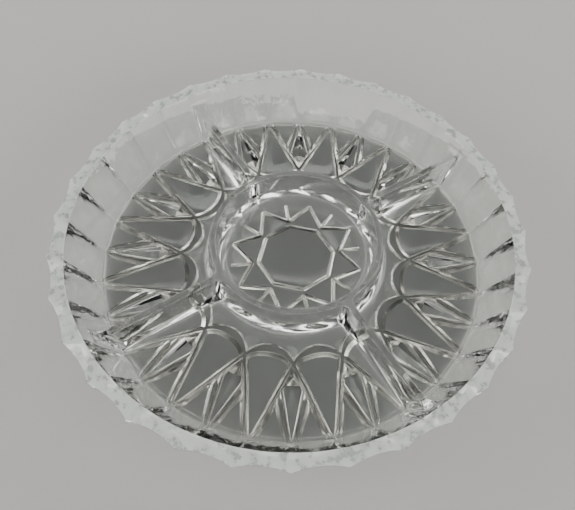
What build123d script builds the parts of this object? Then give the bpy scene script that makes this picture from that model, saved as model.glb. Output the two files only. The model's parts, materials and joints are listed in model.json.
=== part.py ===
from build123d import *
import math
import os

# A round pressed-glass serving dish: a fluted outer wall, four chip compartments
# between four dividers, and a dip well in the middle. It is one pressing of glass,
# cut here into its named regions, which meet face to face.
# Lengths are in millimetres and angles in degrees. The origin is the centre of the
# flat underside, +Z is up, and the dividers lie along X and Y.

# Outer wall
tip_diameter = 280.0          # across two opposite tips of the rim
total_height = 38.0
wall_flare = 16.0             # how far the wall leans out between the base and the rim
rim_width = 9.5               # from a tip to the inner edge of the rim
wall_foot_width = 7.0         # from an arris to the cavity, where the wall stands on the base
wall_cove_radius = 6.0        # inside, between the wall and the floor
flute_count = 32
flute_depth = 2.0             # of a flute's hollow at the rim, behind the line between two tips

# Floor
floor_thickness = 4.5

# Dip well
well_top_diameter = 98.0      # inside, at the top of the ring
well_lean = 2.0               # how far the ring's inner wall leans out from its foot to its top
well_cove_radius = 7.0
ring_drop = 12.0              # from the rim down to the top of the ring and dividers
ring_top_width = 4.0
ring_foot_spread = 3.0        # how much wider the ring is outside at its foot
ring_lip_radius = 1.6
root_radius = 3.0             # outside the ring, where it meets the floor

# Dividers
divider_count = 4
divider_top_width = 4.5
divider_draft = 4.0
divider_sweep_radius = 12.0   # where a divider's top turns up into the outer wall

# Pressed pattern under the compartment floors
groove_slope = 19.0           # of each side of a groove, from the flat underside
petal_clearance = 5.8         # plain floor between the ring's foot and the petals
petal_arch_radius = 18.5
petal_groove_width = 7.0
petal_tail_width = 2.2
tail_inset = 2.5              # from an arris at the base in to the end of a petal's tail
kite_top_gap = 12.6           # from the top of a petal's arch out to the top of a kite
kite_shoulder_gap = 21.4      # from the top of a petal's arch out to a kite's shoulders
kite_shoulder_angle = 4.2     # to each side of a kite's middle line

# Pressed pattern under the dip well
octagon_radius = 25.0
star_inset = 5.0              # from the foot of the ring's inner wall in to the star's points
star_notch_radius = 28.5
well_line_width = 2.6

# Derived sizes
full_turn = 360.0
tip_radius = tip_diameter / 2
base_radius = tip_radius - wall_flare
rim_inner_radius = tip_radius - rim_width
cavity_foot_radius = base_radius - wall_foot_width
ring_top = total_height - ring_drop
ring_height = ring_top - floor_thickness
well_top_radius = well_top_diameter / 2
well_foot_radius = well_top_radius - well_lean
ring_outer_top_radius = well_top_radius + ring_top_width
ring_foot_radius = ring_outer_top_radius + ring_foot_spread
divider_foot_half = divider_top_width / 2 + ring_height * math.tan(math.radians(divider_draft))

petal_count = flute_count // 2
petal_pitch = full_turn / petal_count
petal_top_radius = ring_foot_radius + petal_clearance + petal_groove_width / 2
tail_radius = base_radius - tail_inset
star_points = 8
star_radius = well_foot_radius - star_inset
star_pitch = full_turn / star_points

# Where the pressing is cut into regions
region_margin = 0.5
well_region_radius = star_radius + well_line_width / 2
ring_region_radius = ring_foot_radius + petal_clearance - region_margin
wall_region_radius = cavity_foot_radius - wall_cove_radius
divider_region_half = divider_foot_half + region_margin
divider_region_top = ring_top + 0.3 * divider_sweep_radius   # the thin tip above it is the wall's
overshoot = 5.0               # how far a cutting solid runs past what it cuts


def polar(radius, angle, z=0.0):
    """The point at this radius and angle about the dish's axis."""
    turn = math.radians(angle)
    return Vector(radius * math.cos(turn), radius * math.sin(turn), z)


def disc(radius, height):
    """A round solid on the dish's axis, from z = 0 up to the height."""
    return Cylinder(radius, height, align=(Align.CENTER, Align.CENTER, Align.MIN))


def turned(profile):
    """The solid of revolution of a face in the XZ plane."""
    return revolve(Plane.XZ * profile, Axis.Z)


def fluted_outline(radius, z):
    """A face whose edge is a ring of concave arcs that meet in sharp tips."""
    pitch = full_turn / flute_count
    depth = flute_depth * radius / tip_radius
    hollow_radius = radius * math.cos(math.radians(pitch / 2)) - depth
    arcs = []
    for index in range(flute_count):
        start = polar(radius, index * pitch, z)
        hollow = polar(hollow_radius, (index + 0.5) * pitch, z)
        end = polar(radius, (index + 1) * pitch, z)
        arcs.append(ThreePointArc(start, hollow, end))
    return make_face(Wire(arcs))


def cavity():
    """The space inside the outer wall, with a cove round the edge of the floor."""
    flare = (rim_inner_radius - cavity_foot_radius) / (total_height - floor_thickness)
    mouth_radius = rim_inner_radius + overshoot * flare
    mouth = total_height + overshoot
    outline = Polyline(
        (0, floor_thickness),
        (cavity_foot_radius, floor_thickness),
        (mouth_radius, mouth),
        (0, mouth),
        close=True,
    )
    profile = make_face(outline)
    foot = profile.vertices().sort_by_distance((cavity_foot_radius, floor_thickness))[0]
    return turned(fillet(foot, wall_cove_radius))


def shell():
    """The fluted dish without its dividers, ring and pattern."""
    outside = loft([fluted_outline(base_radius, 0), fluted_outline(tip_radius, total_height)], ruled=True)
    return outside - cavity()


def ring():
    """The dip well's wall on a band of floor, with its coves and rounded lip."""
    band = Polyline(
        (well_foot_radius - 2 * well_cove_radius, 0),
        (ring_foot_radius + 2 * root_radius, 0),
        (ring_foot_radius + 2 * root_radius, floor_thickness),
        (ring_foot_radius, floor_thickness),
        (ring_outer_top_radius, ring_top),
        (well_top_radius, ring_top),
        (well_foot_radius, floor_thickness),
        (well_foot_radius - 2 * well_cove_radius, floor_thickness),
        close=True,
    )
    profile = make_face(band)
    corners = (
        ((ring_foot_radius, floor_thickness), root_radius),
        ((ring_outer_top_radius, ring_top), ring_lip_radius),
        ((well_top_radius, ring_top), ring_lip_radius),
        ((well_foot_radius, floor_thickness), well_cove_radius),
    )
    for corner, radius in corners:
        profile = fillet(profile.vertices().sort_by_distance(corner)[0], radius)
    return turned(profile)


def divider():
    """One divider along +X, with its top turned up at the wall."""
    lean = (rim_inner_radius - cavity_foot_radius) / (total_height - floor_thickness)
    wall_at_top = cavity_foot_radius + (ring_top - floor_thickness) * lean
    inner_end = ring_outer_top_radius - ring_top_width / 2
    buried = wall_foot_width / 2
    side = Polyline(
        (inner_end, 0),
        (cavity_foot_radius + buried, 0),
        (rim_inner_radius + buried, total_height),
        (rim_inner_radius, total_height),
        (wall_at_top, ring_top),
        (inner_end, ring_top),
        close=True,
    )
    side_face = make_face(side)
    turn = side_face.vertices().sort_by_distance((wall_at_top, ring_top))[0]
    side_face = fillet(turn, divider_sweep_radius)
    side_solid = extrude(Plane.XZ * side_face, divider_foot_half, both=True)

    narrowing = (total_height - ring_top) * math.tan(math.radians(divider_draft))
    top_half = divider_top_width / 2 - narrowing
    section = Polyline(
        (-divider_foot_half, 0),
        (divider_foot_half, 0),
        (divider_foot_half, floor_thickness),
        (top_half, total_height),
        (-top_half, total_height),
        (-divider_foot_half, floor_thickness),
        close=True,
    )
    section_solid = extrude(Plane.YZ * make_face(section), tip_radius)
    return side_solid & section_solid


def groove_section(centre, along, width):
    """The three-sided section of a groove: a wire across the groove at one point."""
    across = Vector(0, 0, 1).cross(along).normalized()
    below = overshoot * math.tan(math.radians(groove_slope))
    half = width / 2 + overshoot
    depth = width / 2 * math.tan(math.radians(groove_slope))
    left = centre + across * half - Vector(0, 0, below)
    right = centre - across * half - Vector(0, 0, below)
    bottom = centre + Vector(0, 0, depth)
    return Polyline(left, right, bottom, close=True)


def straight_groove(start, end, start_width, end_width):
    """A V-shaped cutter under the floor, which tapers from start to end."""
    along = (end - start).normalized()
    first = make_face(groove_section(start, along, start_width))
    last = make_face(groove_section(end, along, end_width))
    return loft([first, last], ruled=True)


def petal():
    """The cutter of one petal about +X: an arch and two long straight tails."""
    centre = Vector(petal_top_radius + petal_arch_radius, 0, 0)
    tail_end = polar(tail_radius, petal_pitch)
    reach = tail_end - centre
    heading = math.degrees(math.atan2(reach.Y, reach.X))
    meets = heading + math.degrees(math.acos(petal_arch_radius / reach.length))
    top = centre - Vector(petal_arch_radius, 0, 0)
    section = make_face(groove_section(top, Vector(0, 1, 0), petal_groove_width))
    half_arch = full_turn / 2 - meets
    arch_axis = Axis(centre, (0, 0, 1))
    arch = revolve(section.rotate(arch_axis, -half_arch), arch_axis, 2 * half_arch)
    pieces = [arch]
    for side in (-1, 1):
        turn = math.radians(meets)
        offset = Vector(math.cos(turn), side * math.sin(turn), 0) * petal_arch_radius
        end = polar(tail_radius, side * petal_pitch)
        pieces.append(straight_groove(centre + offset, end, petal_groove_width, petal_tail_width))
    return pieces


def kite():
    """The cutter of one kite-shaped hollow, midway between two petals."""
    middle = petal_pitch / 2
    shoulder_radius = petal_top_radius + kite_shoulder_gap
    depth = petal_groove_width / 2 * math.tan(math.radians(groove_slope))
    below = 1.0 + overshoot / depth
    apex = polar(shoulder_radius, middle, depth)
    corners = [
        polar(petal_top_radius + kite_top_gap, middle),
        polar(shoulder_radius, middle + kite_shoulder_angle),
        polar(tail_radius, middle),
        polar(shoulder_radius, middle - kite_shoulder_angle),
    ]
    wide = [apex + (corner - apex) * below for corner in corners]
    faces = [make_face(Polyline(*wide, close=True))]
    for index, corner in enumerate(wide):
        following = wide[(index + 1) % len(wide)]
        faces.append(make_face(Polyline(corner, following, apex, close=True)))
    return Solid(Shell(faces))


def compartment_pattern():
    """All petal and kite cutters of the compartment floors."""
    cutters = []
    for index in range(petal_count):
        turn = index * petal_pitch
        cutters += [piece.rotate(Axis.Z, turn) for piece in petal()]
        cutters.append(kite().rotate(Axis.Z, turn))
    return cutters


def well_pattern():
    """The cutters of the octagon, star and spokes under the dip well."""
    cutters = []
    for index in range(star_points):
        notch_angle = (index + 0.5) * star_pitch
        notch = polar(star_notch_radius, notch_angle)
        corner = polar(octagon_radius, notch_angle)
        next_corner = polar(octagon_radius, notch_angle + star_pitch)
        cutters.append(straight_groove(corner, next_corner, well_line_width, well_line_width))
        for point_angle in (index * star_pitch, (index + 1) * star_pitch):
            point = polar(star_radius, point_angle)
            cutters.append(straight_groove(notch, point, well_line_width, well_line_width))
        rim_point = polar(star_radius, notch_angle)
        cutters.append(straight_groove(notch, rim_point, well_line_width, well_line_width))
    return cutters


def beyond(radius, cutters):
    """The cutters that run out past this radius."""
    chosen = []
    for cutter in cutters:
        reach = max(math.hypot(corner.X, corner.Y) for corner in cutter.vertices())
        if reach > radius:
            chosen.append(cutter)
    return chosen


def near(piece, cutters):
    """The cutters whose boxes reach into the piece's box."""
    box = piece.bounding_box()
    chosen = []
    for cutter in cutters:
        other = cutter.bounding_box()
        clear_x = other.min.X > box.max.X or other.max.X < box.min.X
        clear_y = other.min.Y > box.max.Y or other.max.Y < box.min.Y
        if not (clear_x or clear_y):
            chosen.append(cutter)
    return chosen


def plain_pressing():
    """The whole dish before its pattern is pressed in."""
    body = shell() + ring()
    for index in range(divider_count):
        body += divider().rotate(Axis.Z, index * full_turn / divider_count)
    return body


def divider_strip():
    """The region between the ring and the outer wall that holds the divider along +X."""
    placed = (Align.MIN, Align.CENTER, Align.MIN)
    strip = Box(tip_radius, 2 * divider_region_half, divider_region_top, align=placed)
    return strip - disc(ring_region_radius, total_height)


def swept_tip():
    """The thin upper end of the divider along +X, where it runs out into the wall."""
    return divider() - disc(tip_radius, divider_region_top)


def compartment_corner():
    """The region that holds the floor of the compartment between +X and +Y."""
    side = wall_region_radius
    block = Box(side, side, total_height, align=(Align.MIN, Align.MIN, Align.MIN))
    block = Pos(divider_region_half, divider_region_half, 0) * block
    return (block & disc(wall_region_radius, total_height)) - disc(ring_region_radius, total_height)


def main():
    """Write one STEP file for each region of the dish."""
    os.makedirs("parts", exist_ok=True)
    body = plain_pressing()
    floor_cutters = compartment_pattern()
    plain_wall = shell() - disc(wall_region_radius, total_height)
    wall = plain_wall - beyond(wall_region_radius, floor_cutters)
    for index in range(divider_count):
        wall += swept_tip().rotate(Axis.Z, index * full_turn / divider_count)
    inside_ring = body & disc(ring_region_radius, total_height)
    parts = {
        "outer_wall": wall,
        "dip_well_ring": inside_ring - disc(well_region_radius, total_height),
        "dip_well_floor": (body & disc(well_region_radius, total_height)) - well_pattern(),
    }
    plain_divider = (body & divider_strip()) - plain_wall
    plain_floor = body & compartment_corner()
    first_divider = plain_divider - near(plain_divider, floor_cutters)
    first_floor = plain_floor - near(plain_floor, floor_cutters)
    for index in range(divider_count):
        turn = index * full_turn / divider_count
        parts[f"divider_{index + 1}"] = first_divider.rotate(Axis.Z, turn)
        parts[f"compartment_floor_{index + 1}"] = first_floor.rotate(Axis.Z, turn)
    for name, piece in parts.items():
        export_step(piece, f"parts/{name}.step")
        print(name, round(piece.volume), piece.is_valid)


main()
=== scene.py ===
import json
import math

import bmesh
import bpy
from mathutils import Matrix, Vector

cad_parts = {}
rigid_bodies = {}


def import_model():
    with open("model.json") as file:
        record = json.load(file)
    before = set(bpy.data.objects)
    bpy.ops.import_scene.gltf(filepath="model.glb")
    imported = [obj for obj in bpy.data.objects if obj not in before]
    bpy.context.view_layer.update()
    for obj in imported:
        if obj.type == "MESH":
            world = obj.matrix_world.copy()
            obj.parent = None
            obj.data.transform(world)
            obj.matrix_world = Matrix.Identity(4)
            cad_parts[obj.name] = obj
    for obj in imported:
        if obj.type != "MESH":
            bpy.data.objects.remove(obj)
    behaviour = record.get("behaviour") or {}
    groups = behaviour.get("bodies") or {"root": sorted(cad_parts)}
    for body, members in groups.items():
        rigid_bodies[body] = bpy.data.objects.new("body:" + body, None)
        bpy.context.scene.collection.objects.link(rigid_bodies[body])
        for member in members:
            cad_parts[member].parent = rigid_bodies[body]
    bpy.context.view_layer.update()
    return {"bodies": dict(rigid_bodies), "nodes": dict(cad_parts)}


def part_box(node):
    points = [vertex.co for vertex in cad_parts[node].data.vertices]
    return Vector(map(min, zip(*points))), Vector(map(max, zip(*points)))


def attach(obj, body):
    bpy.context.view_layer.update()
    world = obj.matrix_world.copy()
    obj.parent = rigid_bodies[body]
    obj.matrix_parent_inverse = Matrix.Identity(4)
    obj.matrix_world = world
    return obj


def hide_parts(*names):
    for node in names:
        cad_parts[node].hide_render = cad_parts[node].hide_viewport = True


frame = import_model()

bl_info = {
    "name": "Pressed Glass Serving Dish",
    "version": (1, 0, 0),
    "blender": (4, 5, 0),
    "location": "View3D > Sidebar > Serving Dish",
    "description": "Models a divided pressed-glass dish with its pattern, glass and studio",
    "category": "Add Mesh",
}

# Places taken from the frame, in metres.
TIP_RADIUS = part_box("outer_wall")[1][0]
RIM_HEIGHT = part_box("outer_wall")[1][2]
FLOOR_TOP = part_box("compartment_floor_1")[1][2]
LAND_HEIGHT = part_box("dip_well_ring")[1][2]

MM = 0.001
DISH = "pressed_dish"
CAD_NODES = list(frame["nodes"])
BODY = list(frame["bodies"])[0]
COLUMNS = 128
FLUTE_STEPS = 8
MOUTH = RIM_HEIGHT + 7 * MM


class DishSizes(bpy.types.PropertyGroup):
    """Sizes of the plain pressing"""

    wall_flare: bpy.props.FloatProperty(
        name="Wall Flare",
        description="How far the outer wall leans out from the base to the rim",
        default=16 * MM,
        unit="LENGTH",
    )
    rim_width: bpy.props.FloatProperty(
        name="Rim Width",
        description="From a tip of the rim to its inner edge",
        default=9.5 * MM,
        unit="LENGTH",
    )
    foot_width: bpy.props.FloatProperty(
        name="Wall Foot",
        description="From an arris at the base to the cavity at the floor",
        default=7 * MM,
        unit="LENGTH",
    )
    flutes: bpy.props.IntProperty(
        name="Flutes",
        description="Hollow flutes round the outer wall",
        default=32,
    )
    flute_depth: bpy.props.FloatProperty(
        name="Flute Depth",
        description="Depth of a flute's hollow at the rim, behind the line between its tips",
        default=2 * MM,
        unit="LENGTH",
    )
    well_top_radius: bpy.props.FloatProperty(
        name="Well Radius",
        description="Inside radius of the dip well at its top",
        default=49 * MM,
        unit="LENGTH",
    )
    well_lean: bpy.props.FloatProperty(
        name="Well Lean",
        description="How far the well's wall leans out from its foot to its top",
        default=2 * MM,
        unit="LENGTH",
    )
    well_cove: bpy.props.FloatProperty(
        name="Well Cove",
        description="Radius between the well's wall and its floor",
        default=7 * MM,
        unit="LENGTH",
    )
    ring_width: bpy.props.FloatProperty(
        name="Ring Width",
        description="Width of the dip ring at its top",
        default=4 * MM,
        unit="LENGTH",
    )
    ring_spread: bpy.props.FloatProperty(
        name="Ring Spread",
        description="How much wider the ring is outside at its foot",
        default=3 * MM,
        unit="LENGTH",
    )
    divider_width: bpy.props.FloatProperty(
        name="Divider Width",
        description="Width of a divider at its top",
        default=4.5 * MM,
        unit="LENGTH",
    )
    divider_draft: bpy.props.FloatProperty(
        name="Divider Draft",
        description="Lean of a divider's sides",
        default=math.radians(4),
        subtype="ANGLE",
    )
    sweep_radius: bpy.props.FloatProperty(
        name="Sweep Radius",
        description="Radius with which a divider's top turns up into the outer wall",
        default=12 * MM,
        unit="LENGTH",
    )
    corner_radius: bpy.props.FloatProperty(
        name="Corner Radius",
        description="Radius of a compartment's upright corners",
        default=5 * MM,
        unit="LENGTH",
    )
    root_radius: bpy.props.FloatProperty(
        name="Root Radius",
        description="Radius between a compartment's walls and its floor",
        default=3.6 * MM,
        unit="LENGTH",
    )
    lip_radius: bpy.props.FloatProperty(
        name="Lip Radius",
        description="Rounding along the tops of the dividers and the ring",
        default=1.2 * MM,
        unit="LENGTH",
    )
    edge_radius: bpy.props.FloatProperty(
        name="Edge Radius",
        description="Rounding of the rim's edges and the base's edge",
        default=0.6 * MM,
        unit="LENGTH",
    )


class PatternSizes(bpy.types.PropertyGroup):
    """Sizes of the pattern pressed into the underside"""

    petals: bpy.props.IntProperty(
        name="Petals",
        description="Arched petals round the compartments' floors",
        default=16,
    )
    petal_top: bpy.props.FloatProperty(
        name="Petal Top",
        description="Radius of the middle of a petal's arch, from the dish's axis",
        default=65.8 * MM,
        unit="LENGTH",
    )
    arch_radius: bpy.props.FloatProperty(
        name="Arch Radius",
        description="Radius of the arch's own curve",
        default=18.5 * MM,
        unit="LENGTH",
    )
    tail_radius: bpy.props.FloatProperty(
        name="Tail Radius",
        description="Radius at which the petals' tails end, from the dish's axis",
        default=121.8 * MM,
        unit="LENGTH",
    )
    groove_depth: bpy.props.FloatProperty(
        name="Groove Depth",
        description="Depth of the petals' grooves",
        default=1.8 * MM,
        unit="LENGTH",
    )
    kite_top: bpy.props.FloatProperty(
        name="Kite Top",
        description="Radius of the inner end of a kite, from the dish's axis",
        default=79.5 * MM,
        unit="LENGTH",
    )
    kite_shoulder: bpy.props.FloatProperty(
        name="Kite Shoulder",
        description="Radius of a kite's widest place, from the dish's axis",
        default=86.4 * MM,
        unit="LENGTH",
    )
    kite_spread: bpy.props.FloatProperty(
        name="Kite Spread",
        description="Angle from a kite's middle line to its shoulders",
        default=math.radians(5.3),
        subtype="ANGLE",
    )
    kite_depth: bpy.props.FloatProperty(
        name="Kite Depth",
        description="Depth of the hollow in a kite",
        default=2.5 * MM,
        unit="LENGTH",
    )
    tail_width: bpy.props.FloatProperty(
        name="Tail Width",
        description="Width of a petal's groove at the end of its tail",
        default=2.5 * MM,
        unit="LENGTH",
    )
    panel_top: bpy.props.FloatProperty(
        name="Panel Top",
        description="Radius of the inner point of the narrow panels beside the kites",
        default=93.2 * MM,
        unit="LENGTH",
    )
    panel_bevel: bpy.props.FloatProperty(
        name="Panel Bevel",
        description="Width of the bevels down the panels' long sides",
        default=1.8 * MM,
        unit="LENGTH",
    )
    line_width: bpy.props.FloatProperty(
        name="Line Width",
        description="Width of the narrow lines under the dip well and beside the kites",
        default=2.7 * MM,
        unit="LENGTH",
    )
    octagon_radius: bpy.props.FloatProperty(
        name="Octagon Radius",
        description="Radius of the corners of the dip well's octagon",
        default=24.5 * MM,
        unit="LENGTH",
    )
    star_radius: bpy.props.FloatProperty(
        name="Star Radius",
        description="Radius of the points of the dip well's star",
        default=42 * MM,
        unit="LENGTH",
    )
    notch_radius: bpy.props.FloatProperty(
        name="Star Notch",
        description="Radius of the notches between the star's points",
        default=28.5 * MM,
        unit="LENGTH",
    )


# Shared modelling steps


def cone_radius(height, foot_radius, top_radius, foot_height, top_height):
    """The radius at a height on the cone through two circles."""
    share = (height - foot_height) / (top_height - foot_height)
    return foot_radius + (top_radius - foot_radius) * share


def polar(radius, angle, height=0.0):
    """The point at a radius and an angle about the dish's axis."""
    return Vector((radius * math.cos(angle), radius * math.sin(angle), height))


def arc_points(corner, before, after, radius, steps):
    """Points of the arc of this radius that rounds a corner of an outline."""
    back = (before - corner).normalized()
    ahead = (after - corner).normalized()
    half = back.angle(ahead) / 2
    middle = (back + ahead).normalized()
    centre = corner + middle * (radius / math.sin(half))
    turn = math.pi / 2 - half
    side = math.copysign(1, back.cross(ahead))
    points = []
    for step in range(steps + 1):
        swing = Matrix.Rotation(side * turn * (1 - 2 * step / steps), 2)
        points.append(centre - swing @ middle * radius)
    return points


def make_piece(name, bm):
    """A mesh object from a bmesh, with its faces pointing out."""
    bmesh.ops.remove_doubles(bm, verts=bm.verts, dist=0.002 * MM)
    bmesh.ops.recalc_face_normals(bm, faces=bm.faces)
    mesh = bpy.data.meshes.new(name)
    bm.to_mesh(mesh)
    bm.free()
    piece = bpy.data.objects.new(name, mesh)
    bpy.context.scene.collection.objects.link(piece)
    return piece


def carve(piece, cutter):
    """Takes a cutter out of a piece and removes the cutter."""
    cut = piece.modifiers.new("cut", "BOOLEAN")
    cut.operation = "DIFFERENCE"
    cut.solver = "MANIFOLD"
    cut.object = cutter
    apply_modifiers(piece)
    mesh = cutter.data
    bpy.data.objects.remove(cutter)
    bpy.data.meshes.remove(mesh)


def apply_modifiers(piece):
    """Makes a piece's modifiers part of its mesh."""
    graph = bpy.context.evaluated_depsgraph_get()
    finished = bpy.data.meshes.new_from_object(piece.evaluated_get(graph))
    old = piece.data
    piece.modifiers.clear()
    piece.data = finished
    bpy.data.meshes.remove(old)
    if not finished.polygons:
        raise RuntimeError(f"{piece.name} has no faces left")


def turned(name, outline, steps):
    """A closed solid of revolution from an outline of (radius, height) points."""
    bm = bmesh.new()
    points = [bm.verts.new((radius, 0, height)) for radius, height in outline]
    edges = [bm.edges.new(pair) for pair in zip(points, points[1:])]
    bmesh.ops.spin(
        bm, geom=points + edges, cent=(0, 0, 0), axis=(0, 0, 1), angle=math.tau, steps=steps, use_merge=True
    )
    return make_piece(name, bm)


def lofted(name, loops):
    """A closed solid through loops of points, one after another, with a flat face at each end."""
    bm = bmesh.new()
    corners = [bm.verts.new(spot) for spot in loops[0]]
    edges = [bm.edges.new(pair) for pair in zip(corners, corners[1:] + corners[:1])]
    bmesh.ops.contextual_create(bm, geom=edges)
    for loop in loops[1:]:
        grown = bmesh.ops.extrude_edge_only(bm, edges=edges)["geom"]
        edges = [part for part in grown if isinstance(part, bmesh.types.BMEdge)]
        corners = [part for part in grown if isinstance(part, bmesh.types.BMVert)]
        for corner, spot in zip(corners, loop):
            corner.co = spot
    bmesh.ops.contextual_create(bm, geom=edges)
    return make_piece(name, bm)


def rounded(bm, edges, radius, segments):
    """Rounds edges of a bmesh."""
    bmesh.ops.bevel(
        bm,
        geom=edges,
        offset=radius,
        offset_type="OFFSET",
        segments=segments,
        profile=0.5,
        affect="EDGES",
        clamp_overlap=False,
        material=-1,
    )


# The plain pressing


def fluted_solid(sizes):
    """The solid dish outside: a flaring wall of hollow flutes that meet in sharp arrises."""
    bm = bmesh.new()
    count = sizes.flutes * FLUTE_STEPS
    bmesh.ops.create_circle(bm, cap_ends=True, segments=count, radius=TIP_RADIUS)
    pitch = math.tau / sizes.flutes
    half_chord = TIP_RADIUS * math.sin(pitch / 2)
    hollow = (half_chord**2 + sizes.flute_depth**2) / (2 * sizes.flute_depth)
    centre = TIP_RADIUS * math.cos(pitch / 2) - sizes.flute_depth + hollow
    for corner in bm.verts:
        angle = math.atan2(corner.co.y, corner.co.x)
        off = (angle + math.pi / sizes.flutes) % pitch - pitch / 2
        off = abs(off) - pitch / 2
        reach = centre * math.cos(off) - math.sqrt(hollow**2 - (centre * math.sin(off)) ** 2)
        corner.co = polar(reach, angle, RIM_HEIGHT)
    base_face = list(bm.faces)
    grown = bmesh.ops.extrude_face_region(bm, geom=base_face, use_keep_orig=True)
    foot = [part for part in grown["geom"] if isinstance(part, bmesh.types.BMVert)]
    shrink = (TIP_RADIUS - sizes.wall_flare) / TIP_RADIUS
    bmesh.ops.scale(bm, vec=(shrink, shrink, 1), verts=foot)
    bmesh.ops.translate(bm, vec=(0, 0, -RIM_HEIGHT), verts=foot)
    bmesh.ops.recalc_face_normals(bm, faces=bm.faces)
    base_edges = [edge for edge in bm.edges if all(corner.co.z < MM for corner in edge.verts)]
    rounded(bm, base_edges, sizes.edge_radius, 2)
    return make_piece(DISH, bm)


def wall_cone(sizes):
    """The cavity's radius at the floor and at the rim."""
    foot = TIP_RADIUS - sizes.wall_flare - sizes.foot_width
    return foot, TIP_RADIUS - sizes.rim_width


def upper_cavity(sizes):
    """The space above the dividers and the ring, turned up to the wall in a sweep."""
    foot, top = wall_cone(sizes)
    clear = 0.05 * MM
    at_land = cone_radius(LAND_HEIGHT, foot, top, FLOOR_TOP, RIM_HEIGHT) - clear
    at_mouth = cone_radius(MOUTH, foot, top, FLOOR_TOP, RIM_HEIGHT) - clear
    corner = Vector((at_land, LAND_HEIGHT))
    mouth = Vector((at_mouth, MOUTH))
    sweep = arc_points(corner, Vector((0, LAND_HEIGHT)), mouth, sizes.sweep_radius, 10)
    outline = [(0, LAND_HEIGHT)] + [tuple(point) for point in sweep] + [tuple(mouth), (0, MOUTH)]
    return turned("upper_cavity", outline, COLUMNS)


def well_cavity(sizes):
    """The space in the dip well, with its cove."""
    foot = sizes.well_top_radius - sizes.well_lean
    at_mouth = cone_radius(MOUTH, foot, sizes.well_top_radius, FLOOR_TOP, LAND_HEIGHT)
    corner = Vector((foot, FLOOR_TOP))
    mouth = Vector((at_mouth, MOUTH))
    cove = arc_points(corner, Vector((0, FLOOR_TOP)), mouth, sizes.well_cove, 8)
    outline = [(0, FLOOR_TOP)] + [tuple(point) for point in cove] + [tuple(mouth), (0, MOUTH)]
    return turned("well_cavity", outline, COLUMNS)


def compartment_outline(ring_radius, wall_radius, half_divider, corner, height, turn):
    """The plan outline of a compartment at one height, with its four rounded corners."""
    near = corner + half_divider
    inner = math.asin(near / (ring_radius + corner))
    outer = math.asin(near / (wall_radius - corner))
    square = math.pi / 2
    centre = (0, 0)
    # Each arc: its centre, radius, start, end, steps, and the first and last step that it keeps.
    arcs = [
        (centre, ring_radius, square - inner, inner, 24, 0, 24),
        (polar(ring_radius + corner, inner), corner, inner + math.pi, 3 * square, 6, 1, 6),
        (polar(wall_radius - corner, outer), corner, -square, outer, 6, 0, 6),
        (centre, wall_radius, outer, square - outer, 36, 1, 35),
        (polar(wall_radius - corner, square - outer), corner, square - outer, math.pi, 6, 1, 6),
        (polar(ring_radius + corner, square - inner), corner, -math.pi, -square - inner, 6, 0, 5),
    ]
    points = []
    for middle, radius, start, end, steps, first, last in arcs:
        for step in range(first, last + 1):
            angle = start + (end - start) * step / steps
            spot = Vector((middle[0], middle[1], 0)) + polar(radius, angle)
            points.append(Matrix.Rotation(turn, 3, "Z") @ spot + Vector((0, 0, height)))
    return points


def compartment_cavity(sizes, turn):
    """The space in one compartment, with rounded corners and a radius round its floor."""
    foot, top = wall_cone(sizes)
    ring_top = sizes.well_top_radius + sizes.ring_width
    loops = []
    levels = [(sizes.root_radius, step / 5 * math.pi / 2) for step in range(6)]
    heights = []
    for radius, swing in levels:
        heights.append((FLOOR_TOP + radius * (1 - math.cos(swing)), radius * (1 - math.sin(swing))))
    heights += [(LAND_HEIGHT, 0), (MOUTH, 0)]
    for height, inset in heights:
        ring_radius = inset + cone_radius(
            height, ring_top + sizes.ring_spread, ring_top, FLOOR_TOP, LAND_HEIGHT
        )
        wall_radius = cone_radius(height, foot, top, FLOOR_TOP, RIM_HEIGHT) - inset
        draft = (LAND_HEIGHT - height) * math.tan(sizes.divider_draft)
        half_divider = sizes.divider_width / 2 + draft + inset
        corner = sizes.corner_radius - inset
        loops.append(compartment_outline(ring_radius, wall_radius, half_divider, corner, height, turn))
    return lofted("compartment_cavity", loops)


def is_land_edge(edge):
    """Whether an edge lies between the dividers' tops and a side."""
    if len(edge.link_faces) != 2:
        return False
    middle = (edge.verts[0].co + edge.verts[1].co) / 2
    if middle.z < LAND_HEIGHT - 0.1 * MM or middle.z > RIM_HEIGHT - 0.1 * MM:
        return False
    steep = sorted(abs(face.normal.z) for face in edge.link_faces)
    return steep[0] < 0.35 and steep[1] > 0.6 and edge.calc_face_angle(0) > math.radians(40)


def soften_edges(piece, sizes):
    """Rounds the lips of the dividers and the ring, and the two edges of the rim."""
    bm = bmesh.new()
    bm.from_mesh(piece.data)
    bmesh.ops.remove_doubles(bm, verts=bm.verts, dist=0.02 * MM)
    bmesh.ops.dissolve_limit(bm, angle_limit=math.radians(0.2), verts=bm.verts, edges=bm.edges)
    for facing in ((1, 0, 0), (0, 1, 0)):
        geometry = bm.verts[:] + bm.edges[:] + bm.faces[:]
        bmesh.ops.bisect_plane(bm, geom=geometry, dist=0.001 * MM, plane_co=(0, 0, 0), plane_no=facing)
    lips = [edge for edge in bm.edges if is_land_edge(edge)]
    rounded(bm, lips, sizes.lip_radius, 4)
    rim = []
    for edge in bm.edges:
        high = all(corner.co.z > RIM_HEIGHT - 0.01 * MM for corner in edge.verts)
        if high and edge.calc_face_angle(0) > math.radians(30):
            rim.append(edge)
    rounded(bm, rim, sizes.edge_radius, 3)
    bm.to_mesh(piece.data)
    bm.free()


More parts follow.
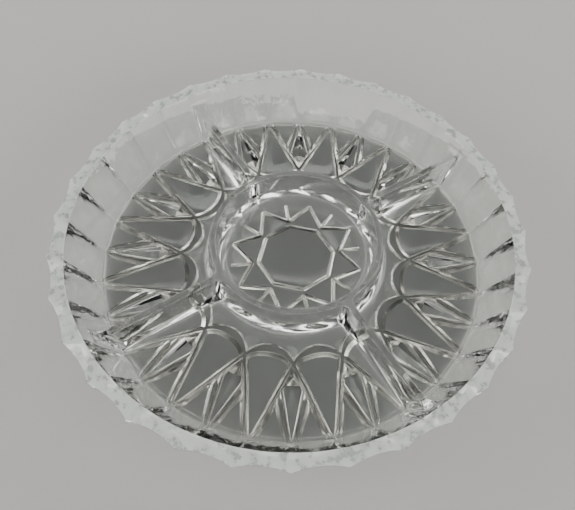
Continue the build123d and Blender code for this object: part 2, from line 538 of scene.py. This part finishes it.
class DISH_OT_plain_pressing(bpy.types.Operator):
    """Model the fluted dish with its compartments, dividers and dip well"""

    bl_idname = "dish.plain_pressing"
    bl_label = "Plain Pressing"

    def execute(self, context):
        sizes = context.scene.dish_sizes
        piece = fluted_solid(sizes)
        carve(piece, upper_cavity(sizes))
        carve(piece, well_cavity(sizes))
        for quarter in range(4):
            carve(piece, compartment_cavity(sizes, quarter * math.pi / 2))
        soften_edges(piece, sizes)
        return {"FINISHED"}


# The pattern pressed into the underside


def bar(name, stations):
    """A closed cutter along a path. A station is a place and the section's (side, rise) points there."""
    last = len(stations) - 1
    loops = []
    for index, (place, section) in enumerate(stations):
        before = stations[max(index - 1, 0)][0]
        after = stations[min(index + 1, last)][0]
        along = (after - before).normalized()
        across = Vector((along.y, -along.x, 0))
        loops.append([place + across * side + Vector((0, 0, rise)) for side, rise in section])
    return lofted(name, loops)


def trough(left, right, depth, left_slope, right_slope):
    """A groove's section: two facets with eased edges and a flat between them, from below the underside."""
    below = 1.2 * MM
    ease = 0.28 * MM
    lip = math.radians(22)
    lip_rise = ease * math.tan(lip)
    left_run = (depth - lip_rise) / math.tan(left_slope)
    right_run = (depth - lip_rise) / math.tan(right_slope)
    room = (left + right - 0.3 * MM) / (left_run + right_run)
    if room < 1:
        left_run *= room
        right_run *= room
        depth = lip_rise + (depth - lip_rise) * room
    reach = ease + below / math.tan(lip)
    return [
        (-left - reach, -below),
        (right + reach, -below),
        (right, lip_rise),
        (right - right_run * 0.86, lip_rise + (depth - lip_rise) * 0.86),
        (right - right_run * 1.05, depth),
        (-left + left_run * 1.05, depth),
        (-left + left_run * 0.86, lip_rise + (depth - lip_rise) * 0.86),
        (-left, lip_rise),
    ]


def petal_cutter(pattern, turn):
    """The groove of one petal: an arch towards the dip well with two long straight tails."""
    steep = math.radians(49)
    gentle = math.radians(36)
    centre = pattern.petal_top + pattern.arch_radius
    tail_end = polar(pattern.tail_radius, math.tau / pattern.petals)
    reach = tail_end - Vector((centre, 0, 0))
    swing = math.pi - math.atan2(reach.y, reach.x) - math.acos(pattern.arch_radius / reach.length)
    stations = []
    crown = (4.2 * MM, 4.2 * MM)
    shoulder = (2.7 * MM, 2.9 * MM)
    steps = 14
    for step in range(-steps, steps + 1):
        share = abs(step) / steps
        blend = share * share * (3 - 2 * share)
        outer = crown[0] + (shoulder[0] - crown[0]) * blend
        inner = crown[1] + (shoulder[1] - crown[1]) * blend
        angle = swing * step / steps
        back = pattern.arch_radius * math.cos(angle)
        place = Vector((centre - back, pattern.arch_radius * math.sin(angle), 0))
        stations.append((place, trough(outer, inner, pattern.groove_depth, steep, gentle)))
    thin = pattern.tail_width / 2
    for side in (-1, 1):
        end = polar(pattern.tail_radius, side * math.tau / pattern.petals)
        section = trough(thin, thin, pattern.groove_depth * 0.8, steep, gentle)
        start = stations[0][0] if side < 0 else stations[-1][0]
        pieces = [start.lerp(end, share) for share in (0.35, 0.7, 1.0)]
        for share, place in zip((0.35, 0.7, 1.0), pieces):
            left = shoulder[0] + (thin - shoulder[0]) * share
            right = shoulder[1] + (thin - shoulder[1]) * share
            depth = pattern.groove_depth * (1 - 0.2 * share)
            section = trough(left, right, depth, steep, gentle)
            if side < 0:
                stations.insert(0, (place, section))
            else:
                stations.append((place, section))
    turned_stations = []
    for place, section in stations:
        turned_stations.append((Matrix.Rotation(turn, 3, "Z") @ place, section))
    return bar("petal", turned_stations)


def straight_cutter(name, start, end, start_width, end_width, depth, slope):
    """A straight groove with even sides, which tapers from its start to its end."""
    first = trough(start_width / 2, start_width / 2, depth, slope, slope)
    last = trough(end_width / 2, end_width / 2, depth, slope, slope)
    return bar(name, [(start, first), (end, last)])


def kite_hollow(pattern, angle):
    """The four-sided hollow in the middle of a kite."""
    rise = pattern.kite_depth
    spread = pattern.kite_spread * 0.68
    corners = [
        polar(pattern.kite_top + 1.5 * MM, angle),
        polar(pattern.kite_shoulder - 0.6 * MM, angle + spread),
        polar(pattern.tail_radius - 5 * MM, angle),
        polar(pattern.kite_shoulder - 0.6 * MM, angle - spread),
    ]
    apex = polar(pattern.kite_shoulder, angle, rise)
    below = 1 + 1.2 * MM / rise
    bm = bmesh.new()
    loop = [bm.verts.new(apex + (corner - apex) * below) for corner in corners]
    edges = [bm.edges.new(pair) for pair in zip(loop, loop[1:] + loop[:1])]
    bmesh.ops.contextual_create(bm, geom=edges)
    peak = bmesh.ops.extrude_edge_only(bm, edges=edges)["geom"]
    raised = [part for part in peak if isinstance(part, bmesh.types.BMVert)]
    bmesh.ops.pointmerge(bm, verts=raised, merge_co=apex)
    return make_piece("kite", bm)


def kite_lines(pattern, angle):
    """The grooves that outline a kite, as (start, end, start width, end width)."""
    top = polar(pattern.kite_top - 0.9 * MM, angle)
    foot = polar(pattern.tail_radius - 0.5 * MM, angle)
    lines = []
    for side in (-1, 1):
        shoulder = polar(pattern.kite_shoulder + 0.3 * MM, angle + side * pattern.kite_spread * 0.86)
        lines.append((shoulder, foot, pattern.line_width, 1.4 * MM))
        lines.append((top, shoulder, 1.5 * MM, 1.9 * MM))
    return lines


def panel_facets(pattern, angle):
    """The bevels down the two long sides of each narrow panel beside a kite."""
    half_pitch = math.pi / pattern.petals
    cutters = []
    for side in (-1, 1):
        apex = polar(pattern.panel_top, angle + side * math.radians(5.6))
        ends = (
            polar(pattern.tail_radius - 1 * MM, angle + side * (half_pitch - math.radians(1.35))),
            polar(pattern.tail_radius - 1 * MM, angle + side * math.radians(1.1)),
        )
        for hand, end in zip((side, -side), ends):
            wide = pattern.panel_bevel
            stations = []
            for share, width in ((0.0, 0.5), (0.25, 1.0), (1.0, 0.45)):
                run = wide * width
                rise = run * math.tan(math.radians(38))
                spare = 1 * MM / math.tan(math.radians(38))
                section = [(-0.4 * MM, -1 * MM), (run + spare, -1 * MM), (-0.4 * MM, rise + 0.3 * MM)]
                sides = [(hand * across, height) for across, height in section]
                stations.append((apex.lerp(end, share), sides))
            cutters.append(bar("panel_facet", stations))
    return cutters


class DISH_OT_compartment_pattern(bpy.types.Operator):
    """Press the petals, kites and panels into the underside of the compartments' floors"""

    bl_idname = "dish.compartment_pattern"
    bl_label = "Compartment Pattern"

    def execute(self, context):
        pattern = context.scene.pattern_sizes
        piece = bpy.data.objects[DISH]
        pitch = math.tau / pattern.petals
        slope = math.radians(47)
        for index in range(pattern.petals):
            carve(piece, petal_cutter(pattern, index * pitch))
        for index in range(pattern.petals):
            middle = (index + 0.5) * pitch
            for start, end, start_width, end_width in kite_lines(pattern, middle):
                depth = pattern.groove_depth * 0.8
                carve(piece, straight_cutter("kite_line", start, end, start_width, end_width, depth, slope))
            carve(piece, kite_hollow(pattern, middle))
            for cutter in panel_facets(pattern, middle):
                carve(piece, cutter)
        return {"FINISHED"}


class DISH_OT_well_pattern(bpy.types.Operator):
    """Press the octagon, star and spokes into the underside of the dip well's floor"""

    bl_idname = "dish.well_pattern"
    bl_label = "Well Pattern"

    def execute(self, context):
        pattern = context.scene.pattern_sizes
        piece = bpy.data.objects[DISH]
        pitch = math.tau / 8
        width = pattern.line_width
        slope = math.radians(47)
        depth = 1.4 * MM
        for index in range(8):
            corner = (index + 0.5) * pitch
            notch = polar(pattern.notch_radius, corner)
            runs = [
                (polar(pattern.octagon_radius, corner - pitch), polar(pattern.octagon_radius, corner)),
                (notch, polar(pattern.star_radius, index * pitch)),
                (notch, polar(pattern.star_radius, (index + 1) * pitch)),
                (notch, polar(pattern.star_radius, corner)),
            ]
            for start, end in runs:
                carve(piece, straight_cutter("well_line", start, end, width, width * 0.9, depth, slope))
        return {"FINISHED"}


class DISH_OT_mould_marks(bpy.types.Operator):
    """Press the round, shallow mould marks into the tops where the dividers meet the ring"""

    bl_idname = "dish.mould_marks"
    bl_label = "Mould Marks"

    def execute(self, context):
        sizes = context.scene.dish_sizes
        piece = bpy.data.objects[DISH]
        radius = 13.5 * MM
        for quarter in range(4):
            bm = bmesh.new()
            bmesh.ops.create_uvsphere(bm, u_segments=64, v_segments=48, radius=radius)
            spot = polar(sizes.well_top_radius + sizes.ring_width * 0.8, quarter * math.pi / 2)
            lift = Vector((0, 0, LAND_HEIGHT - 0.28 * MM + radius))
            bmesh.ops.translate(bm, vec=spot + lift, verts=bm.verts)
            carve(piece, make_piece("mould_mark", bm))
        return {"FINISHED"}


# Glass


class GlassLook(bpy.types.PropertyGroup):
    """Colours and finish of the glass"""

    tint: bpy.props.FloatVectorProperty(
        name="Tint",
        description="Colour of the clear glass",
        default=(0.95, 0.972, 0.958),
        subtype="COLOR",
        size=3,
    )
    deep_tint: bpy.props.FloatVectorProperty(
        name="Deep Tint",
        description="Colour of the glass where its melt was a little greener",
        default=(0.915, 0.952, 0.93),
        subtype="COLOR",
        size=3,
    )
    refraction: bpy.props.FloatProperty(
        name="Refraction",
        description="Index of refraction of soda-lime glass",
        default=1.51,
    )
    waviness: bpy.props.FloatProperty(
        name="Waviness",
        description="Depth of the slow ripple that pressing leaves in the surface",
        default=0.12 * MM,
        unit="LENGTH",
    )
    wrinkle: bpy.props.FloatProperty(
        name="Wrinkle",
        description="Depth of the chill wrinkles on the steep walls",
        default=0.28 * MM,
        unit="LENGTH",
    )
    # Painted glow: a pale colour on the rim's top that stands for the light leaving the thick wall.
    rim_glow_colour: bpy.props.FloatVectorProperty(
        name="Rim Colour",
        description="Colour of the rim's flat top, where light leaves the thick wall",
        default=(0.78, 0.84, 0.79),
        subtype="COLOR",
        size=3,
    )
    # Painted highlight: a cream colour on the pattern's facets that stands for the light they throw back.
    facet_highlight_colour: bpy.props.FloatVectorProperty(
        name="Facet Colour",
        description="Colour of the pattern's facets, where they gather light",
        default=(1.0, 0.975, 0.92),
        subtype="COLOR",
        size=3,
    )
    # Painted reflection: the facets' metal share mirrors light to stand for the light clear facets throw
    # back.
    facet_sparkle: bpy.props.FloatProperty(
        name="Facet Sparkle",
        description="How much of the light the pattern's facets throw back",
        default=0.75,
        min=0.0,
        max=1.0,
        subtype="FACTOR",
    )
    mottle: bpy.props.FloatProperty(
        name="Mottle",
        description="Depth of the fine orange-peel on the rim and the lands",
        default=0.05 * MM,
        unit="LENGTH",
    )


def add_node(tree, kind, **settings):
    """A node with its settings. Names of inputs are written with their spaces as underscores."""
    node = tree.nodes.new(kind)
    for name, value in settings.items():
        if hasattr(node, name):
            setattr(node, name, value)
        else:
            node.inputs[name.replace("_", " ")].default_value = value
    return node


def join(tree, *ends):
    """Links an output to an input, as (node, output name, node, input name)."""
    source, output, target, entry = ends
    tree.links.new(source.outputs[output], target.inputs[entry])


def pressed_glass(look):
    """Clear pressed glass: a slow ripple everywhere, and a finer mottle on the rim and lands."""
    material = bpy.data.materials.new("pressed_clear_glass")
    material.use_nodes = True
    tree = material.node_tree
    shader = tree.nodes["Principled BSDF"]
    shader.inputs["Transmission Weight"].default_value = 1.0
    shader.inputs["IOR"].default_value = look.refraction

    where = add_node(tree, "ShaderNodeTexCoord")
    melt = add_node(tree, "ShaderNodeTexNoise", Scale=14.0, Detail=3.0)
    join(tree, where, "Object", melt, "Vector")
    tints = add_node(tree, "ShaderNodeMix", data_type="RGBA")
    tints.inputs[6].default_value = (*look.tint, 1)
    tints.inputs[7].default_value = (*look.deep_tint, 1)
    join(tree, melt, "Fac", tints, 0)
    tree.links.new(tints.outputs[2], shader.inputs["Base Color"])

    # How much a place belongs to the rim and the lands, by its height and its facing.
    parts = add_node(tree, "ShaderNodeSeparateXYZ")
    join(tree, where, "Object", parts, "Vector")
    facing = add_node(tree, "ShaderNodeNewGeometry")
    upright = add_node(tree, "ShaderNodeSeparateXYZ")
    join(tree, facing, "True Normal", upright, "Vector")
    flat = add_node(tree, "ShaderNodeMapRange", From_Min=0.75, From_Max=0.97)
    tree.links.new(upright.outputs["Z"], flat.inputs["Value"])
    high = add_node(tree, "ShaderNodeMapRange", From_Min=LAND_HEIGHT - 2 * MM, From_Max=LAND_HEIGHT - 1 * MM)
    tree.links.new(parts.outputs["Z"], high.inputs["Value"])
    land = add_node(tree, "ShaderNodeMath", operation="MULTIPLY")
    tree.links.new(flat.outputs["Result"], land.inputs[0])
    tree.links.new(high.outputs["Result"], land.inputs[1])

    fine = add_node(tree, "ShaderNodeTexNoise", Scale=420.0, Detail=3.0, Roughness=0.55)
    join(tree, where, "Object", fine, "Vector")
    blotches = add_node(tree, "ShaderNodeTexNoise", Scale=170.0, Detail=2.0)
    join(tree, where, "Object", blotches, "Vector")
    rough = add_node(tree, "ShaderNodeMapRange", From_Min=0.35, From_Max=0.7, To_Min=0.05, To_Max=0.3)
    tree.links.new(blotches.outputs["Fac"], rough.inputs["Value"])
    finish = add_node(tree, "ShaderNodeMix", data_type="FLOAT")
    tree.links.new(land.outputs["Value"], finish.inputs[0])
    finish.inputs[2].default_value = 0.012
    tree.links.new(rough.outputs["Result"], finish.inputs[3])
    tree.links.new(finish.outputs[0], shader.inputs["Roughness"])

    slow = add_node(tree, "ShaderNodeTexNoise", Scale=55.0, Detail=2.0, Roughness=0.4)
    join(tree, where, "Object", slow, "Vector")
    ripple = add_node(tree, "ShaderNodeBump", Strength=1.0, Distance=look.waviness)
    tree.links.new(slow.outputs["Fac"], ripple.inputs["Height"])
    # Chill wrinkles on the steep walls of the ring, the dividers and the flutes.
    steep = add_node(tree, "ShaderNodeMapRange", From_Min=0.55, From_Max=0.3)
    steepness = add_node(tree, "ShaderNodeMath", operation="ABSOLUTE")
    tree.links.new(upright.outputs["Z"], steepness.inputs[0])
    tree.links.new(steepness.outputs["Value"], steep.inputs["Value"])
    stretched = add_node(tree, "ShaderNodeMapping")
    stretched.inputs["Scale"].default_value = (1, 1, 0.45)
    join(tree, where, "Object", stretched, "Vector")
    wrinkles = add_node(tree, "ShaderNodeTexNoise", Scale=190.0, Detail=2.0, Roughness=0.5)
    join(tree, stretched, "Vector", wrinkles, "Vector")
    wrinkle_height = add_node(tree, "ShaderNodeMath", operation="MULTIPLY")
    tree.links.new(wrinkles.outputs["Fac"], wrinkle_height.inputs[0])
    tree.links.new(steep.outputs["Result"], wrinkle_height.inputs[1])
    chill = add_node(tree, "ShaderNodeBump", Strength=1.0, Distance=look.wrinkle)
    tree.links.new(wrinkle_height.outputs["Value"], chill.inputs["Height"])
    tree.links.new(ripple.outputs["Normal"], chill.inputs["Normal"])
    peel_height = add_node(tree, "ShaderNodeMath", operation="MULTIPLY")
    tree.links.new(fine.outputs["Fac"], peel_height.inputs[0])
    tree.links.new(land.outputs["Value"], peel_height.inputs[1])
    peel = add_node(tree, "ShaderNodeBump", Strength=1.0, Distance=look.mottle)
    tree.links.new(peel_height.outputs["Value"], peel.inputs["Height"])
    tree.links.new(chill.outputs["Normal"], peel.inputs["Normal"])
    tree.links.new(peel.outputs["Normal"], shader.inputs["Normal"])
    return material


def rim_painted_glow(look):
    """The rim's flat top: a painted glow, pale grey-green with a random mottle, that stands for the light
    leaving the wall there.
    """
    material = bpy.data.materials.new("pale_rim_glass")
    material.use_nodes = True
    tree = material.node_tree
    shader = tree.nodes["Principled BSDF"]
    shader.inputs["Transmission Weight"].default_value = 0.4
    shader.inputs["IOR"].default_value = look.refraction
    where = add_node(tree, "ShaderNodeTexCoord")
    blotches = add_node(tree, "ShaderNodeTexNoise", Scale=230.0, Detail=3.0)
    join(tree, where, "Object", blotches, "Vector")
    # Painted glow: the pale base colour stands for the light leaving the thick wall; the blotches darken it
    # at random.
    shade = add_node(tree, "ShaderNodeValToRGB")
    shade.color_ramp.elements[0].position = 0.38
    shade.color_ramp.elements[0].color = (*[channel * 0.66 for channel in look.rim_glow_colour], 1)
    shade.color_ramp.elements[1].position = 0.52
    shade.color_ramp.elements[1].color = (*look.rim_glow_colour, 1)
    join(tree, blotches, "Fac", shade, "Fac")
    join(tree, shade, "Color", shader, "Base Color")
    rough = add_node(tree, "ShaderNodeMapRange", From_Min=0.3, From_Max=0.7, To_Min=0.2, To_Max=0.45)
    tree.links.new(blotches.outputs["Fac"], rough.inputs["Value"])
    tree.links.new(rough.outputs["Result"], shader.inputs["Roughness"])
    fine = add_node(tree, "ShaderNodeTexNoise", Scale=330.0, Detail=3.0)
    join(tree, where, "Object", fine, "Vector")
    peel = add_node(tree, "ShaderNodeBump", Strength=1.0, Distance=look.mottle)
    join(tree, fine, "Fac", peel, "Height")
    join(tree, peel, "Normal", shader, "Normal")
    return material


def painted_facet_highlights(look):
    """The sloping facets of the pattern: a painted highlight, cream coloured and partly mirrored, to stand
    for the light clear facets throw back.
    """
    material = bpy.data.materials.new("pressed_facets")
    material.use_nodes = True
    tree = material.node_tree
    shader = tree.nodes["Principled BSDF"]
    shader.inputs["Transmission Weight"].default_value = 1.0
    # Painted reflection: a metal share that mirrors the lights in place of the facets' own internal
    # reflection.
    shader.inputs["Metallic"].default_value = look.facet_sparkle
    shader.inputs["IOR"].default_value = look.refraction
    where = add_node(tree, "ShaderNodeTexCoord")
    streaks = add_node(tree, "ShaderNodeTexNoise", Scale=90.0, Detail=4.0, Roughness=0.6)
    join(tree, where, "Object", streaks, "Vector")
    # Painted highlight: the cream colour stands for the light the facets throw back; the streaks vary it at
    # random.
    shade = add_node(tree, "ShaderNodeValToRGB")
    shade.color_ramp.elements[0].position = 0.3
    shade.color_ramp.elements[0].color = (*[channel * 0.8 for channel in look.facet_highlight_colour], 1)
    shade.color_ramp.elements[1].position = 0.62
    shade.color_ramp.elements[1].color = (*look.facet_highlight_colour, 1)
    join(tree, streaks, "Fac", shade, "Fac")
    join(tree, shade, "Color", shader, "Base Color")
    rough = add_node(tree, "ShaderNodeMapRange", From_Min=0.3, From_Max=0.7, To_Min=0.12, To_Max=0.3)
    tree.links.new(streaks.outputs["Fac"], rough.inputs["Value"])
    tree.links.new(rough.outputs["Result"], shader.inputs["Roughness"])
    ripple = add_node(tree, "ShaderNodeBump", Strength=1.0, Distance=look.mottle)
    join(tree, streaks, "Fac", ripple, "Height")
    join(tree, ripple, "Normal", shader, "Normal")
    return material


class DISH_OT_finish_glass(bpy.types.Operator):
    """Clean the pressing's mesh, give it its glass and set it in the frame"""

    bl_idname = "dish.finish_glass"
    bl_label = "Finish Glass"

    def execute(self, context):
        piece = bpy.data.objects[DISH]
        pattern_reach = context.scene.pattern_sizes.tail_radius + 1 * MM
        bm = bmesh.new()
        bm.from_mesh(piece.data)
        bmesh.ops.dissolve_degenerate(bm, dist=0.003 * MM, edges=bm.edges)
        bmesh.ops.recalc_face_normals(bm, faces=bm.faces)
        bm.to_mesh(piece.data)
        bm.free()
        piece.data.materials.clear()
        piece.data.materials.append(pressed_glass(context.scene.glass_look))
        piece.data.materials.append(rim_painted_glow(context.scene.glass_look))
        piece.data.materials.append(painted_facet_highlights(context.scene.glass_look))
        for face in piece.data.polygons:
            face.material_index = 0
            # The rim's top takes the painted glow.
            if face.center.z > RIM_HEIGHT - 0.35 * MM and face.normal.z > 0.6:
                face.material_index = 1
            # The pattern's sloping facets take the painted highlight.
            under = 0.02 * MM < face.center.z < FLOOR_TOP * 0.8 and face.center.xy.length < pattern_reach
            if under and -0.9 < face.normal.z < -0.1:
                face.material_index = 2
        piece.data.shade_smooth()
        piece.data.set_sharp_from_angle(angle=math.radians(24))
        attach(piece, BODY)
        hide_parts(*CAD_NODES)
        return {"FINISHED"}


# Floor, lights and camera


class StudioSettings(bpy.types.PropertyGroup):
    """The floor, the lights and the camera"""

    floor_colour: bpy.props.FloatVectorProperty(
        name="Floor Colour",
        description="Colour of the pale floor",
        default=(0.45, 0.44, 0.428),
        subtype="COLOR",
        size=3,
    )
    camera_place: bpy.props.FloatVectorProperty(
        name="Camera Place",
        description="Where the camera stands",
        default=(0.15939, -0.10975, 0.30578),
        subtype="TRANSLATION",
        unit="LENGTH",
        size=3,
    )
    camera_turn: bpy.props.FloatVectorProperty(
        name="Camera Turn",
        description="The camera's rotation about X, Y and Z",
        default=(math.radians(33.547), math.radians(-4.807), math.radians(55.212)),
        subtype="EULER",
        size=3,
    )
    lens: bpy.props.FloatProperty(
        name="Lens",
        description="Focal length on a 36 mm sensor, in millimetres",
        default=34.8,
    )
    shift: bpy.props.FloatVectorProperty(
        name="Shift",
        description="The camera's shift across and up",
        default=(-0.0861, -0.0129),
        size=2,
    )


def floor_material(colour):
    """A matt pale table with a faint mottle."""
    material = bpy.data.materials.new("pale_floor")
    material.use_nodes = True
    tree = material.node_tree
    shader = tree.nodes["Principled BSDF"]
    shader.inputs["Roughness"].default_value = 0.75
    where = add_node(tree, "ShaderNodeTexCoord")
    grain = add_node(tree, "ShaderNodeTexNoise", Scale=9.0, Detail=6.0)
    join(tree, where, "Object", grain, "Vector")
    shade = add_node(tree, "ShaderNodeMix", data_type="RGBA")
    shade.inputs[6].default_value = (*[channel * 0.96 for channel in colour], 1)
    shade.inputs[7].default_value = (*[channel * 1.04 for channel in colour], 1)
    join(tree, grain, "Fac", shade, 0)
    tree.links.new(shade.outputs[2], shader.inputs["Base Color"])
    return material


def soft_light(name, place, size, power, colour):
    """A rectangular soft light that faces the dish."""
    lamp = bpy.data.lights.new(name, "AREA")
    lamp.shape = "RECTANGLE"
    lamp.size, lamp.size_y = size
    lamp.energy = power
    lamp.color = colour
    holder = bpy.data.objects.new(name, lamp)
    holder.location = place
    holder.rotation_euler = Vector(place).to_track_quat("Z", "Y").to_euler()
    bpy.context.scene.collection.objects.link(holder)


def studio_world():
    """A studio that is bright at the horizon, where its white walls are, and dim overhead."""
    world = bpy.data.worlds.new("studio")
    world.use_nodes = True
    tree = world.node_tree
    where = add_node(tree, "ShaderNodeTexCoord")
    parts = add_node(tree, "ShaderNodeSeparateXYZ")
    join(tree, where, "Generated", parts, "Vector")
    walls = add_node(tree, "ShaderNodeValToRGB")
    walls.color_ramp.elements[0].position = 0.25
    walls.color_ramp.elements[0].color = (1, 0.98, 0.95, 1)
    walls.color_ramp.elements[1].position = 0.6
    walls.color_ramp.elements[1].color = (0.06, 0.06, 0.062, 1)
    join(tree, parts, "Z", walls, "Fac")
    join(tree, walls, "Color", tree.nodes["Background"], "Color")
    tree.nodes["Background"].inputs["Strength"].default_value = 4.8
    return world


class DISH_OT_studio(bpy.types.Operator):
    """Set up the pale floor, the soft lights and the camera"""

    bl_idname = "dish.studio"
    bl_label = "Studio"

    def execute(self, context):
        settings = context.scene.studio_settings
        bm = bmesh.new()
        bmesh.ops.create_grid(bm, x_segments=1, y_segments=1, size=12.0)
        bmesh.ops.translate(bm, vec=(0, 0, -0.4 * MM), verts=bm.verts)
        floor = make_piece("floor", bm)
        floor.data.materials.append(floor_material(settings.floor_colour))
        soft_light("side", (1.4, 0.6, 0.65), (1.0, 0.6), 7, (1, 0.97, 0.93))
        soft_light("front", (-0.8, -1.3, 0.65), (0.9, 0.6), 6, (0.95, 0.98, 1))
        context.scene.world = studio_world()
        lens = bpy.data.cameras.new("camera")
        lens.lens = settings.lens
        lens.shift_x, lens.shift_y = settings.shift
        lens.clip_start = 0.01
        camera = bpy.data.objects.new("camera", lens)
        camera.location = settings.camera_place
        camera.rotation_euler = settings.camera_turn
        context.scene.collection.objects.link(camera)
        context.scene.camera = camera
        return {"FINISHED"}


class DISH_PT_panel(bpy.types.Panel):
    """The dish's steps, in the order in which they are made"""

    bl_label = "Serving Dish"
    bl_idname = "DISH_PT_panel"
    bl_space_type = "VIEW_3D"
    bl_region_type = "UI"
    bl_category = "Serving Dish"

    def draw(self, context):
        for step in STEPS:
            self.layout.operator(step.bl_idname)


STEPS = (
    DISH_OT_plain_pressing,
    DISH_OT_compartment_pattern,
    DISH_OT_well_pattern,
    DISH_OT_mould_marks,
    DISH_OT_finish_glass,
    DISH_OT_studio,
)
GROUPS = {
    "dish_sizes": DishSizes,
    "pattern_sizes": PatternSizes,
    "glass_look": GlassLook,
    "studio_settings": StudioSettings,
}


def register():
    for name, group in GROUPS.items():
        bpy.utils.register_class(group)
        setattr(bpy.types.Scene, name, bpy.props.PointerProperty(type=group))
    for step in STEPS:
        bpy.utils.register_class(step)
    bpy.utils.register_class(DISH_PT_panel)


def unregister():
    bpy.utils.unregister_class(DISH_PT_panel)
    for step in reversed(STEPS):
        bpy.utils.unregister_class(step)
    for name, group in GROUPS.items():
        delattr(bpy.types.Scene, name)
        bpy.utils.unregister_class(group)


def main():
    register()
    bpy.ops.dish.plain_pressing()
    bpy.ops.dish.compartment_pattern()
    bpy.ops.dish.well_pattern()
    bpy.ops.dish.mould_marks()
    bpy.ops.dish.finish_glass()
    bpy.ops.dish.studio()


if __name__ == "__main__":
    main()
